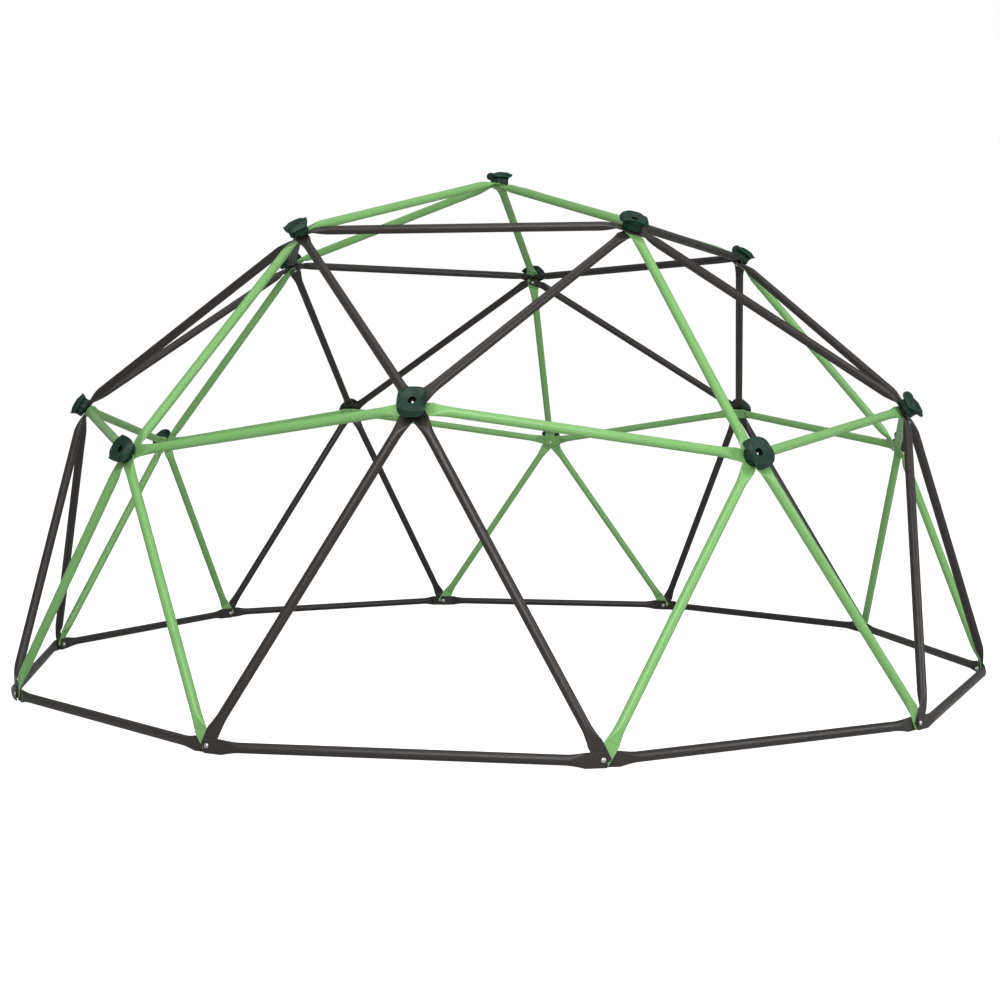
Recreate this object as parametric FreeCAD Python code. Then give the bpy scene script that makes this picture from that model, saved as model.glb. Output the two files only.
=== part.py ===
import FreeCAD, Part
import math
import os

# Geodesic dome climber for a playground, made of straight tube struts bolted together at their
# flattened ends. The dome is half of an icosahedron whose faces are each split into four, with
# every joint pushed out to one sphere: 65 struts of two lengths and 26 joints. Sixteen joints are
# closed by a plastic hand knob on the outside, and the ten on the ground by a nut on the inside.
#
# Frame: origin on the ground under the top joint, +Z up, millimetres. A base rail between two
# ground joints faces -Y, and the joints are mirror symmetric about the plane X = 0.

Vector = FreeCAD.Vector
UP = Vector(0, 0, 1)

# Driving dimensions of the dome
DOME_RADIUS = 1524.0        # dome centre to the middle of the stacked strut ends at a joint
FIRST_RIB_AZIMUTH = -54.0   # degrees, direction of the first of the five ribs
RIB_SPACING = 72.0
SHORT_ANGLE = math.degrees(math.atan(2.0)) / 2  # a short strut as seen from the dome's centre
LONG_ANGLE = 36.0                               # a long strut as seen from the dome's centre

# Struts: round tube with both ends pressed flat, bent and drilled
TUBE_DIA = 25.4
TUBE_WALL = 1.2
TAB_THICK = 3.0             # two walls pressed together, with their coating and spring-back
TAB_WIDTH = 38.0
TAB_CORNER = 4.0            # radius of the two corners of the cut end
BOLT_TO_CUT_END = 10.0
BOLT_TO_BEND = 42.0
PRESS_LENGTH = 46.0         # from the bend to the full round tube
PRESS_POWER = 1.7           # how quickly the pressed part opens out beyond the bend
PRESS_STATIONS = [0.0, 0.1, 0.25, 0.42, 0.62, 0.82, 1.0]
CAVITY_START = 1            # index of the station where the two pressed walls have parted
FLANK_ANGLE = 20.0          # degrees, half the arc of the round tube that becomes the tab's face

# Bolts, nuts and inserts
BOLT_DIA = 8.0
BOLT_HOLE_DIA = 9.0
THREAD_GAP = 0.1            # radial, between a bolt and the nut or insert on it
BOLT_HEAD_DIA = 13.0
BOLT_HEAD_HEIGHT = 4.2
BOLT_HEAD_EDGE = 1.0        # straight rim below the head's dome
NUT_ACROSS_FLATS = 13.0
NUT_HEIGHT = 6.5
BOLT_PAST_NUT = 3.0

# Hand knob: a wide neck under a rounded oblong cap, heights from its seat. The cap's top is
# a shallow dish, its two ends stick out past the neck and its two long sides flare up from it.
KNOB_NECK_DIA = 57.0
KNOB_LENGTH = 84.0
KNOB_WIDTH = 72.0
KNOB_CORNER = 26.0
KNOB_CREST = (34.0, 35.6)   # half the distance between the two high edges, and their height
KNOB_SHOULDER = (38.9, 29.0)  # middle of the curve from a high edge down to the end
KNOB_END_Z = (19.0, 21.6)   # the upright face of each end
KNOB_ROOT_Z = 17.0          # where the cap's underside meets the neck
KNOB_UNDER_REACH = 39.0     # half the length of the flat underside
KNOB_UNDER_HALF_WIDTH = 29.5
KNOB_FLANK = (31.9, 25.5)   # middle of the curve up a long side
KNOB_DISH_RADIUS = 80.0
KNOB_DISH_Z = 28.3          # lowest point of the dish, inside the well
KNOB_WELL_DIA = 20.0
KNOB_WELL_FLOOR_Z = 16.0
INSERT_DIA = 14.0
INSERT_LENGTH = 14.0
BOLT_END_Z = 20.0           # the hub bolt's end, inside the well

# Degrees at which each tightened knob came to rest, anticlockwise from the horizontal as seen
# from outside: the top one, then the five of each ring
APEX_KNOB_TURN = 120.0
UPPER_KNOB_TURNS = [155.0, 4.0, 60.0, 115.0, 143.0]
RIB_KNOB_TURNS = [110.0, 35.0, 80.0, 140.0, 168.0]
FACE_KNOB_TURNS = [158.0, 50.0, 125.0, 2.0, 90.0]

RIBS = 5
BASE_JOINTS = 2 * RIBS
BASE_BOLT_Z = TAB_WIDTH / 2  # the base rails stand on the lower edges of their tabs

# Tabs on one bolt, and each tab's place in the stack counted from the inside of the dome
APEX_STACK = 5              # apex strut k lies at place k
UPPER_STACK = 6
UPPER_DIAGONAL_BEFORE, UPPER_RIB, UPPER_DIAGONAL_AFTER = 0, 1, 2
UPPER_RING_BEFORE, UPPER_RING_AFTER, UPPER_APEX = 3, 4, 5
RIB_STACK = 5
RIB_FROM_UPPER, RIB_RING_BEFORE, RIB_RING_AFTER, RIB_LEG_BEFORE, RIB_LEG_AFTER = range(5)
FACE_STACK = 6
FACE_RING_BEFORE, FACE_RING_AFTER, FACE_LEG_BEFORE = 0, 1, 2
FACE_LEG_AFTER, FACE_DIAGONAL_BEFORE, FACE_DIAGONAL_AFTER = 3, 4, 5
BASE_STACK = 4
BASE_RAIL_INNER, BASE_GREEN_LEG, BASE_BRONZE_LEG, BASE_RAIL_OUTER = range(4)


# Joints ------------------------------------------------------------------------------------------

def outward(azimuth, elevation):
    """Unit vector from the dome's centre to a joint."""
    a = math.radians(azimuth)
    e = math.radians(elevation)
    return Vector(math.cos(e) * math.cos(a), math.cos(e) * math.sin(a), math.sin(e))


def rib_azimuth(k):
    return FIRST_RIB_AZIMUTH + RIB_SPACING * k


def apex_joint():
    return UP


def upper_joint(k):
    """Six-strut joint of the upper ring, one short strut down rib k from the top."""
    return outward(rib_azimuth(k), 90.0 - SHORT_ANGLE)


def rib_joint(k):
    """Five-strut joint at the foot of rib k."""
    return outward(rib_azimuth(k), 90.0 - 2 * SHORT_ANGLE)


def face_joint(k):
    """Six-strut joint half-way between rib k and rib k + 1."""
    return outward(rib_azimuth(k) + RIB_SPACING / 2, SHORT_ANGLE)


def base_joint(k):
    """Joint on the ground; 2k and 2k + 1 are the two feet under rib k."""
    return outward(rib_azimuth(0) + LONG_ANGLE * (k - 0.5), 0.0)


def joint_centre(normal):
    return normal * DOME_RADIUS + UP * BASE_BOLT_Z


def stack_height(place, stack):
    """Height of a tab's middle above the middle of its joint's stack."""
    return (place - (stack - 1) / 2) * TAB_THICK


def placed(shape, origin, x_axis, z_axis):
    """Copy of a shape with its own X and Z turned to the given unit vectors."""
    y_axis = z_axis.cross(x_axis)
    rows = [(x_axis[i], y_axis[i], z_axis[i], origin[i]) for i in range(3)]
    matrix = FreeCAD.Matrix(*rows[0], *rows[1], *rows[2], 0, 0, 0, 1)
    copy = shape.copy()
    copy.Placement = FreeCAD.Placement(matrix)
    return copy


# Struts ------------------------------------------------------------------------------------------
# A strut is built flat on: X along the line between its two bolt axes, Z towards the outside of
# the dome and Y across the tabs, with its middle at the origin.

def section_wire(centre, out, points, bowed):
    """Closed four-sided section: top, right, bottom, left, each bowed through a middle point."""
    def at(point):
        return centre + Vector(0, point[0], 0) + out * point[1]

    edges = []
    for i, (middle, curved) in enumerate(bowed):
        start, end = at(points[i]), at(points[(i + 1) % 4])
        if curved:
            edges.append(Part.Arc(start, at(middle), end).toShape())
        else:
            edges.append(Part.makeLine(start, end))
    return Part.Wire(edges)


def tube_section(centre, out, station, inset):
    """Section of the pressed tube: a flat bar at station 0, the round tube at station 1."""
    opening = 1 - (1 - station) ** PRESS_POWER
    height = TAB_THICK + (TUBE_DIA - TAB_THICK) * opening - 2 * inset
    width = TAB_WIDTH - (TAB_WIDTH - TUBE_DIA) * opening - 2 * inset
    if station == 1.0:
        radius = TUBE_DIA / 2 - inset
        y = radius * math.sin(math.radians(FLANK_ANGLE))
        z = radius * math.cos(math.radians(FLANK_ANGLE))
        flank_bowed, edge_bowed = True, True
    else:
        y = width / 2 if station == 0.0 else (width - height) / 2
        z = height / 2
        flank_bowed, edge_bowed = False, station > 0.0
    points = [(-y, z), (y, z), (y, -z), (-y, -z)]
    bowed = [((0, height / 2), flank_bowed), ((width / 2, 0), edge_bowed),
             ((0, -height / 2), flank_bowed), ((-width / 2, 0), edge_bowed)]
    return section_wire(centre, out, points, bowed)


def pressed_part(bend, tab_out, tube_dir, tube_out, stations, inset):
    """Loft from the tab to the round tube; the first section follows the tab, the rest the tube."""
    wires = []
    for station in stations:
        out = tab_out if station == 0.0 else tube_out
        wires.append(tube_section(bend + tube_dir * (PRESS_LENGTH * station), out, station, inset))
    return Part.makeLoft(wires, True, True)


def tab_plate(bolt_point, tab_dir, tab_out):
    """Flat tab from its cut end, which has rounded corners, to the bend."""
    half = TAB_WIDTH / 2
    cut, bend, r = -BOLT_TO_CUT_END, BOLT_TO_BEND, TAB_CORNER
    mid = r * (1 - math.sqrt(0.5))

    def at(along, across):
        return (bolt_point + tab_dir * along + Vector(0, across, 0)
                - tab_out * (TAB_THICK / 2))

    edges = [
        Part.makeLine(at(bend, -half), at(bend, half)),
        Part.makeLine(at(bend, half), at(cut + r, half)),
        Part.Arc(at(cut + r, half), at(cut + mid, half - mid), at(cut, half - r)).toShape(),
        Part.makeLine(at(cut, half - r), at(cut, r - half)),
        Part.Arc(at(cut, r - half), at(cut + mid, mid - half), at(cut + r, -half)).toShape(),
        Part.makeLine(at(cut + r, -half), at(bend, -half)),
    ]
    return Part.Face(Part.Wire(edges)).extrude(tab_out * TAB_THICK)


def strut(angle, start_height, end_height):
    """Hollow strut between two joints that the dome's centre sees the given angle apart."""
    half_angle = math.radians(angle / 2)
    half_length = DOME_RADIUS * math.sin(half_angle)
    ends = []
    for side, height in ((-1, start_height), (1, end_height)):
        tab_out = Vector(side * math.sin(half_angle), 0, math.cos(half_angle))
        tab_dir = Vector(-side * math.cos(half_angle), 0, math.sin(half_angle))
        bolt_point = Vector(side * half_length, 0, 0) + tab_out * height
        ends.append((bolt_point, tab_dir, tab_out, bolt_point + tab_dir * BOLT_TO_BEND))

    axis = (ends[1][3] - ends[0][3]).normalize()
    tube_out = axis.cross(Vector(0, 1, 0)) * -1
    if tube_out.z < 0:
        tube_out = tube_out * -1
    straight = (ends[1][3] - ends[0][3]).Length - 2 * PRESS_LENGTH
    tube_start = ends[0][3] + axis * PRESS_LENGTH

    solids = [Part.makeCylinder(TUBE_DIA / 2, straight, tube_start, axis)]
    voids = [Part.makeCylinder(TUBE_DIA / 2 - TUBE_WALL, straight, tube_start, axis)]
    holes = []
    for (bolt_point, tab_dir, tab_out, bend), tube_dir in zip(ends, (axis, axis * -1)):
        solids.append(tab_plate(bolt_point, tab_dir, tab_out))
        solids.append(pressed_part(bend, tab_out, tube_dir, tube_out, PRESS_STATIONS, 0.0))
        voids.append(pressed_part(bend, tab_out, tube_dir, tube_out,
                                  PRESS_STATIONS[CAVITY_START:], TUBE_WALL))
        holes.append(Part.makeCylinder(BOLT_HOLE_DIA / 2, 2 * TAB_THICK,
                                       bolt_point - tab_out * TAB_THICK, tab_out))
    body = solids[0].multiFuse(solids[1:])
    cavity = voids[0].multiFuse(voids[1:])
    return body.cut(Part.makeCompound([cavity] + holes)).Solids[0]


def strut_between(start, start_height, end, end_height):
    """Strut placed between two joints given by their outward unit vectors."""
    angle = math.degrees(start.getAngle(end))
    chord = (end - start).normalize()
    out = (start + end).normalize()
    middle = (joint_centre(start) + joint_centre(end)) * 0.5
    return placed(strut(angle, start_height, end_height), middle, chord, out)


# Fasteners and knobs -----------------------------------------------------------------------------
# Each is built with its seat at the origin and its axis along Z.

def revolved(points, arcs):
    """Solid of revolution from (radius, height) points; arcs maps a side's index to its middle."""
    def at(point):
        return Vector(point[0], 0, point[1])

    edges = []
    for i, start in enumerate(points):
        end = points[(i + 1) % len(points)]
        if i in arcs:
            edges.append(Part.Arc(at(start), at(arcs[i]), at(end)).toShape())
        else:
            edges.append(Part.makeLine(at(start), at(end)))
    return Part.Face(Part.Wire(edges)).revolve(Vector(0, 0, 0), UP, 360)


def domed_bolt(length):
    """Bolt with a low spherical head above Z = 0 and its shank below."""
    head, shank = BOLT_HEAD_DIA / 2, BOLT_DIA / 2
    rise = BOLT_HEAD_HEIGHT - BOLT_HEAD_EDGE
    radius = (head ** 2 + rise ** 2) / (2 * rise)
    middle = math.asin(head / radius) / 2
    dome_middle = (radius * math.sin(middle), BOLT_HEAD_HEIGHT - radius * (1 - math.cos(middle)))
    points = [(0, BOLT_HEAD_HEIGHT), (0, -length), (shank, -length), (shank, 0), (head, 0),
              (head, BOLT_HEAD_EDGE)]
    return revolved(points, {5: dome_middle})


def hex_nut():
    """Hexagon nut standing on Z = 0."""
    corner = NUT_ACROSS_FLATS / math.sqrt(3)
    ring = [Vector(corner * math.cos(math.radians(60 * i)), corner * math.sin(math.radians(60 * i)), 0)
            for i in range(7)]
    blank = Part.Face(Part.makePolygon(ring)).extrude(UP * NUT_HEIGHT)
    chamfer = Part.makeCone(corner + NUT_HEIGHT, corner - 1, NUT_HEIGHT + 1)
    bore = Part.makeCylinder(BOLT_DIA / 2 + THREAD_GAP, NUT_HEIGHT)
    return blank.common(chamfer).cut(bore)


def knob_outline():
    """The cap's rounded oblong, as a closed wire at Z = 0."""
    x, y = KNOB_LENGTH / 2 - KNOB_CORNER, KNOB_WIDTH / 2 - KNOB_CORNER
    edges = []
    for i, (cx, cy) in enumerate([(x, y), (-x, y), (-x, -y), (x, -y)]):
        start, middle, end = [Vector(cx + KNOB_CORNER * math.cos(math.radians(90 * i + swing)),
                                     cy + KNOB_CORNER * math.sin(math.radians(90 * i + swing)), 0)
                              for swing in (0, 45, 90)]
        if edges:
            edges.append(Part.makeLine(previous, start))
        else:
            first = start
        edges.append(Part.Arc(start, middle, end).toShape())
        previous = end
    edges.append(Part.makeLine(previous, first))
    return Part.Wire(edges)


def knob_side_view():
    """The cap's outline as seen along its long sides, swept across its width."""
    y = -KNOB_WIDTH / 2
    end_low, end_high = KNOB_END_Z
    right = [Vector(KNOB_UNDER_REACH, y, KNOB_ROOT_Z), Vector(KNOB_LENGTH / 2, y, end_low),
             Vector(KNOB_LENGTH / 2, y, end_high), Vector(KNOB_SHOULDER[0], y, KNOB_SHOULDER[1]),
             Vector(KNOB_CREST[0], y, KNOB_CREST[1])]
    return mirrored_profile(right, Vector(-1, 1, 1)).extrude(Vector(0, KNOB_WIDTH, 0))


def knob_end_view():
    """The cap's outline as seen along its length, swept from end to end."""
    x, top = -KNOB_LENGTH / 2, KNOB_CREST[1]
    right = [Vector(x, KNOB_UNDER_HALF_WIDTH, KNOB_ROOT_Z), Vector(x, KNOB_FLANK[0], KNOB_FLANK[1]),
             Vector(x, KNOB_WIDTH / 2, top)]
    return mirrored_profile(right, Vector(1, -1, 1)).extrude(Vector(KNOB_LENGTH, 0, 0))


def mirrored_profile(right, flip):
    """Face between a side, whose last three points are an arc, and its mirror image."""
    left = [Vector(p.x * flip.x, p.y * flip.y, p.z * flip.z) for p in right]
    edges = []
    for side in (right, left):
        edges += [Part.makeLine(a, b) for a, b in zip(side[:-3], side[1:-2])]
        edges.append(Part.Arc(*side[-3:]).toShape())
    edges += [Part.makeLine(right[0], left[0]), Part.makeLine(right[-1], left[-1])]
    return Part.Face(Part.Wire(Part.__sortEdges__(edges)))


def knob():
    """Oblong hand knob with a dished top, bored for its threaded insert."""
    outline = Part.Face(knob_outline()).extrude(UP * (KNOB_ROOT_Z + KNOB_CREST[1]))
    dish = Part.makeSphere(KNOB_DISH_RADIUS, UP * (KNOB_DISH_Z + KNOB_DISH_RADIUS))
    cap = knob_side_view().common(knob_end_view()).common(outline).cut(dish)
    neck = Part.makeCylinder(KNOB_NECK_DIA / 2, KNOB_ROOT_Z)
    well = Part.makeCylinder(KNOB_WELL_DIA / 2, KNOB_CREST[1], UP * KNOB_WELL_FLOOR_Z)
    pocket = Part.makeCylinder(INSERT_DIA / 2, INSERT_LENGTH, UP * (KNOB_WELL_FLOOR_Z - INSERT_LENGTH))
    bore = Part.makeCylinder(BOLT_HOLE_DIA / 2, KNOB_WELL_FLOOR_Z)
    return cap.fuse(neck).cut(Part.makeCompound([well, pocket, bore]))


def knob_insert():
    """Threaded metal bush that fills the knob's pocket."""
    bush = Part.makeCylinder(INSERT_DIA / 2, INSERT_LENGTH, UP * (KNOB_WELL_FLOOR_Z - INSERT_LENGTH))
    thread = Part.makeCylinder(BOLT_DIA / 2 + THREAD_GAP, KNOB_WELL_FLOOR_Z)
    return bush.cut(thread)


def horizontal_at(normal):
    """Horizontal unit vector across a joint, towards the right as seen from outside."""
    across = UP.cross(normal)
    return Vector(1, 0, 0) if across.Length < 1e-6 else across.normalize()


def turned(shape, degrees):
    copy = shape.copy()
    copy.rotate(Vector(0, 0, 0), UP, degrees)
    return copy


def at_joint(shape, normal, height, facing=1):
    """Shape seated at a height above the middle of the stack, facing outwards or inwards."""
    seat = joint_centre(normal) + normal * height
    return placed(shape, seat, horizontal_at(normal), normal * facing)


# The sub-parts -----------------------------------------------------------------------------------

def export(name, shapes):
    shape = shapes[0] if len(shapes) == 1 else Part.makeCompound(shapes)
    shape.exportStep("parts/" + name + ".step")
    print(name, len(shape.Solids), "solids", round(shape.Volume / 1000, 1), "cm3", shape.isValid())


def export_apex_struts():
    for k in range(RIBS):
        export(f"apex_strut_{k + 1}", [strut_between(
            apex_joint(), stack_height(k, APEX_STACK),
            upper_joint(k), stack_height(UPPER_APEX, UPPER_STACK))])


def export_upper_ring():
    for k in range(RIBS):
        export(f"upper_ring_strut_{k + 1}", [strut_between(
            upper_joint(k), stack_height(UPPER_RING_AFTER, UPPER_STACK),
            upper_joint(k + 1), stack_height(UPPER_RING_BEFORE, UPPER_STACK))])


def export_rib_struts():
    for k in range(RIBS):
        export(f"rib_strut_{k + 1}", [strut_between(
            upper_joint(k), stack_height(UPPER_RIB, UPPER_STACK),
            rib_joint(k), stack_height(RIB_FROM_UPPER, RIB_STACK))])


def export_diagonals():
    """Two long struts fan up from each face joint to the two upper joints beside it."""
    for k in range(RIBS):
        before = strut_between(
            upper_joint(k), stack_height(UPPER_DIAGONAL_AFTER, UPPER_STACK),
            face_joint(k), stack_height(FACE_DIAGONAL_BEFORE, FACE_STACK))
        after = strut_between(
            upper_joint(k + 1), stack_height(UPPER_DIAGONAL_BEFORE, UPPER_STACK),
            face_joint(k), stack_height(FACE_DIAGONAL_AFTER, FACE_STACK))
        export(f"diagonal_pair_{k + 1}", [before, after])


def export_middle_ring():
    for k in range(RIBS):
        export(f"middle_ring_strut_{2 * k + 1}", [strut_between(
            rib_joint(k), stack_height(RIB_RING_AFTER, RIB_STACK),
            face_joint(k), stack_height(FACE_RING_BEFORE, FACE_STACK))])
        export(f"middle_ring_strut_{2 * k + 2}", [strut_between(
            face_joint(k), stack_height(FACE_RING_AFTER, FACE_STACK),
            rib_joint(k + 1), stack_height(RIB_RING_BEFORE, RIB_STACK))])


def export_legs():
    """Each rib joint and each face joint stands on two legs that spread to neighbouring feet."""
    green = stack_height(BASE_GREEN_LEG, BASE_STACK)
    bronze = stack_height(BASE_BRONZE_LEG, BASE_STACK)
    for k in range(RIBS):
        export(f"rib_leg_pair_{k + 1}", [
            strut_between(rib_joint(k), stack_height(RIB_LEG_BEFORE, RIB_STACK),
                          base_joint(2 * k), green),
            strut_between(rib_joint(k), stack_height(RIB_LEG_AFTER, RIB_STACK),
                          base_joint(2 * k + 1), green)])
        export(f"face_leg_pair_{k + 1}", [
            strut_between(face_joint(k), stack_height(FACE_LEG_BEFORE, FACE_STACK),
                          base_joint(2 * k + 1), bronze),
            strut_between(face_joint(k), stack_height(FACE_LEG_AFTER, FACE_STACK),
                          base_joint(2 * k + 2), bronze)])


def export_base_rails():
    """Rails under the ribs lie innermost in both their joints, the others outermost."""
    for k in range(BASE_JOINTS):
        place = BASE_RAIL_INNER if k % 2 == 0 else BASE_RAIL_OUTER
        height = stack_height(place, BASE_STACK)
        export(f"base_rail_{k + 1}", [strut_between(base_joint(k), height, base_joint(k + 1), height)])


def export_hub_hardware():
    """Knob outside, domed bolt inside, and the insert that joins them, for each upper joint."""
    apex = [(apex_joint(), APEX_STACK, APEX_KNOB_TURN)]
    ring = [(upper_joint(k), UPPER_STACK, UPPER_KNOB_TURNS[k]) for k in range(RIBS)]
    ribs = [(rib_joint(k), RIB_STACK, RIB_KNOB_TURNS[k]) for k in range(RIBS)]
    faces = [(face_joint(k), FACE_STACK, FACE_KNOB_TURNS[k]) for k in range(RIBS)]

    knob_shape, insert_shape = knob(), knob_insert()
    groups = {"apex_knob": apex, "upper_ring_knobs": ring, "rib_knobs": ribs, "face_knobs": faces}
    for name, hubs in groups.items():
        export(name, [at_joint(turned(knob_shape, turn), normal, stack * TAB_THICK / 2)
                      for normal, stack, turn in hubs])

    hubs = apex + ring + ribs + faces
    export("knob_inserts", [at_joint(insert_shape, normal, stack * TAB_THICK / 2)
                            for normal, stack, turn in hubs])
    bolts = {stack: domed_bolt(stack * TAB_THICK + BOLT_END_Z) for stack in (RIB_STACK, FACE_STACK)}
    export("hub_bolts", [at_joint(bolts[stack], normal, -stack * TAB_THICK / 2, -1)
                         for normal, stack, turn in hubs])


def export_base_hardware():
    """Bolt head outside and nut inside, on each joint on the ground."""
    half_stack = BASE_STACK * TAB_THICK / 2
    bolt = domed_bolt(2 * half_stack + NUT_HEIGHT + BOLT_PAST_NUT)
    joints = [base_joint(k) for k in range(BASE_JOINTS)]
    export("base_bolts", [at_joint(bolt, normal, half_stack) for normal in joints])
    export("base_nuts", [at_joint(hex_nut(), normal, -half_stack, -1) for normal in joints])


os.makedirs("parts", exist_ok=True)
export_apex_struts()
export_upper_ring()
export_rib_struts()
export_diagonals()
export_middle_ring()
export_legs()
export_base_rails()
export_hub_hardware()
export_base_hardware()
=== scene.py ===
import math

import bmesh
import bpy
import numpy as np
from mathutils import Matrix


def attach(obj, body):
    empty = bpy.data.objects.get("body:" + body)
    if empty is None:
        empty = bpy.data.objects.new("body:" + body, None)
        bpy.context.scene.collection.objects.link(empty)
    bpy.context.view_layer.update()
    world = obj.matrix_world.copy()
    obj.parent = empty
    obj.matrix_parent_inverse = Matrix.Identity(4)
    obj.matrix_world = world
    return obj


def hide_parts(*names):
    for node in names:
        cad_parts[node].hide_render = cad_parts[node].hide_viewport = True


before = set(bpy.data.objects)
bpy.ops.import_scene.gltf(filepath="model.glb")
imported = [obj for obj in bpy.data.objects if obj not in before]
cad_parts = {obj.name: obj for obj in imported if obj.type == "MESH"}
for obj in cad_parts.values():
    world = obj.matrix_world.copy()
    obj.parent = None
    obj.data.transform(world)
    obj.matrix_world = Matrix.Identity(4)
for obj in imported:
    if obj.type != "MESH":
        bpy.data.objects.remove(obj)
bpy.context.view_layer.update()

# Geodesic dome climber: smooth powder-coated struts, moulded hand knobs and zinc-plated fasteners,
# each standing for the CAD node it covers. Pieces are built in millimetres, in the frame of the
# CAD model, and turned into metres when their mesh is made.

MILLIMETRE = 0.001
BODY = "root"
INWARD = -1                 # facing of a part that stands on the inside of a joint

# The dome: half of an icosahedron whose faces are split into four
DOME_RADIUS = 1524.0
FIRST_RIB_AZIMUTH = -54.0
RIB_SPACING = 72.0
RIBS = 5
BASE_JOINTS = 2 * RIBS
BASE_BOLT_Z = 19.0
SHORT_ANGLE = math.degrees(math.atan(2.0)) / 2
LONG_ANGLE = 36.0

# Struts: round tube with both ends pressed flat
TUBE_DIA = 25.4
TAB_THICK = 3.0
TAB_WIDTH = 38.0
TAB_CORNER = 4.0
TAB_RIM = 4.5               # width of the two folded edges, which stand proud of the pressed face
TAB_DISH = 0.3              # how far the pressed face lies below the folded edges
BOLT_TO_CUT_END = 10.0
BOLT_TO_BEND = 42.0
PRESS_LENGTH = 46.0
PRESS_POWER = 1.7
BOLT_HOLE_DIA = 9.0
CUT_BEVEL = 0.35
SEAM_HALF_GAP = 0.2         # the two walls of the tube meet in a seam on the cut end
SEAM_DEPTH = 1.2
SEAM_INSET = 1.0            # the seam stops this far from the corners of the cut end
RIM_RISE = 0.45             # share of the rim's width over which it rises from the dish

# Shares of the pressed length at which the dish, the rim's painted highlight and the tab's spacing
# of points are gone
DISH_GONE = 0.6
RIM_HIGHLIGHT_GONE = 0.35
TAB_SPACING_GONE = 0.9

# Tabs on one bolt, each tab's place counted from the inside of the dome
APEX_STACK = 5
UPPER_STACK = 6
UPPER_DIAGONAL_BEFORE, UPPER_RIB, UPPER_DIAGONAL_AFTER = 0, 1, 2
UPPER_RING_BEFORE, UPPER_RING_AFTER, UPPER_APEX = 3, 4, 5
RIB_STACK = 5
RIB_FROM_UPPER, RIB_RING_BEFORE, RIB_RING_AFTER, RIB_LEG_BEFORE, RIB_LEG_AFTER = range(5)
FACE_STACK = 6
FACE_RING_BEFORE, FACE_RING_AFTER, FACE_LEG_BEFORE = 0, 1, 2
FACE_LEG_AFTER, FACE_DIAGONAL_BEFORE, FACE_DIAGONAL_AFTER = 3, 4, 5
BASE_STACK = 4
BASE_RAIL_INNER, BASE_GREEN_LEG, BASE_BRONZE_LEG, BASE_RAIL_OUTER = range(4)

# Hand knob: an oblong cap on a ribbed neck, with every height counted from the neck's seat
KNOB_LOBES = 2
KNOB_LOBE_REACH = 42.0
KNOB_WAIST_REACH = 36.0
KNOB_CORNER_SHARPNESS = 3.6
KNOB_CORNER_DROOP = 1.0
KNOB_LOBE_BLEND = 0.8       # cosine past which the cap has a lobe's or a waist's profile alone
KNOB_RIM_BULGE = 0.3
KNOB_NECK_DIA = 57.0
KNOB_NECK_EDGE = 0.8
KNOB_ROOT_Z = 17.0          # where the cap's underside meets the neck

# Ribs round the neck, with a pocket between each two
KNOB_RIBS = 12
KNOB_RIB_WIDTH = 5.0
KNOB_RIB_FLANK = 1.6
KNOB_POCKET_DEPTH = 2.6
KNOB_POCKET_Z = (1.6, 15.4)
KNOB_POCKET_RUN_IN = 0.6    # a pocket is at its full depth from this far inside its two limits,
KNOB_POCKET_RUN_OUT = 0.4   # and level with the neck's face from this far outside them

# Well in the top of the cap, over the threaded insert
KNOB_MOUTH_Z = 28.8
KNOB_MOUTH_EDGE = 0.9
KNOB_MOUTH_WALL = ((0.35, 0.3), (0.0, 1.0), (-0.1, 2.5))    # (outside the well's radius, depth)
KNOB_WELL_DIA = 20.0
KNOB_WELL_FLOOR_Z = 16.0
KNOB_WELL_TAPER = 0.3
KNOB_FLOOR_EDGE = 0.8
KNOB_LIP = 1.2              # plastic moulded over the insert's outer end
INSERT_DIA = 14.0
INSERT_LENGTH = 14.0
INSERT_SINK = 0.7
INSERT_EDGE = 0.3
BOLT_END_Z = 20.0

# Cap's surfaces along a lobe and across the waist, from the middle out: (radius, height)
KNOB_TOP_AT_LOBE = [(16.0, 29.6), (22.0, 31.6), (28.4, 34.4), (32.6, 35.4), (36.0, 32.8),
                    (39.2, 27.6), (KNOB_LOBE_REACH, 21.4)]
KNOB_TOP_AT_WAIST = [(16.0, 28.9), (22.0, 29.4), (28.0, 30.7), (32.6, 32.8),
                     (KNOB_WAIST_REACH, 34.6)]
KNOB_UNDER_AT_LOBE = [(33.0, 17.4), (38.4, 17.4), (KNOB_LOBE_REACH, 19.4)]
KNOB_UNDER_AT_WAIST = [(30.4, 20.7), (32.8, 26.8), (KNOB_WAIST_REACH, 32.6)]

# Degrees at which each knob came to rest, as in the CAD model
APEX_KNOB_TURN = 120.0
UPPER_KNOB_TURNS = [155.0, 4.0, 60.0, 115.0, 143.0]
RIB_KNOB_TURNS = [110.0, 35.0, 80.0, 140.0, 168.0]
FACE_KNOB_TURNS = [158.0, 50.0, 125.0, 2.0, 90.0]

# Fasteners
BOLT_DIA = 8.0
BOLT_HEAD_DIA = 13.0
BOLT_HEAD_HEIGHT = 4.2
BOLT_HEAD_EDGE = 1.0        # height of the straight band under the head's dome
BOLT_HEAD_ROUND = 0.15
BOLT_HEAD_BEVEL = 0.2
BOLT_NECK_WIDTH = 0.3       # fillet between head and shank
BOLT_NECK_HEIGHT = 0.4
BOLT_TIP_HEIGHT = 1.0       # chamfer at the end of the shank
BOLT_TIP_BEVEL = 0.9
BOLT_TIP_INSET = 1.1
BOLT_TIP_ROUND = 0.05
THREAD_PITCH = 1.25
THREAD_DEPTH = 0.55
THREAD_LENGTH = 12.0
THREAD_GAP = 0.1            # between a bolt and what it screws into
NUT_ACROSS_FLATS = 13.0
NUT_HEIGHT = 6.5
NUT_FACE_INSET = 0.15
NUT_CHAMFER_SLOPE = 1.9
NUT_SINK_WIDTH = 0.5
NUT_SINK_DEPTH = 0.6
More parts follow.
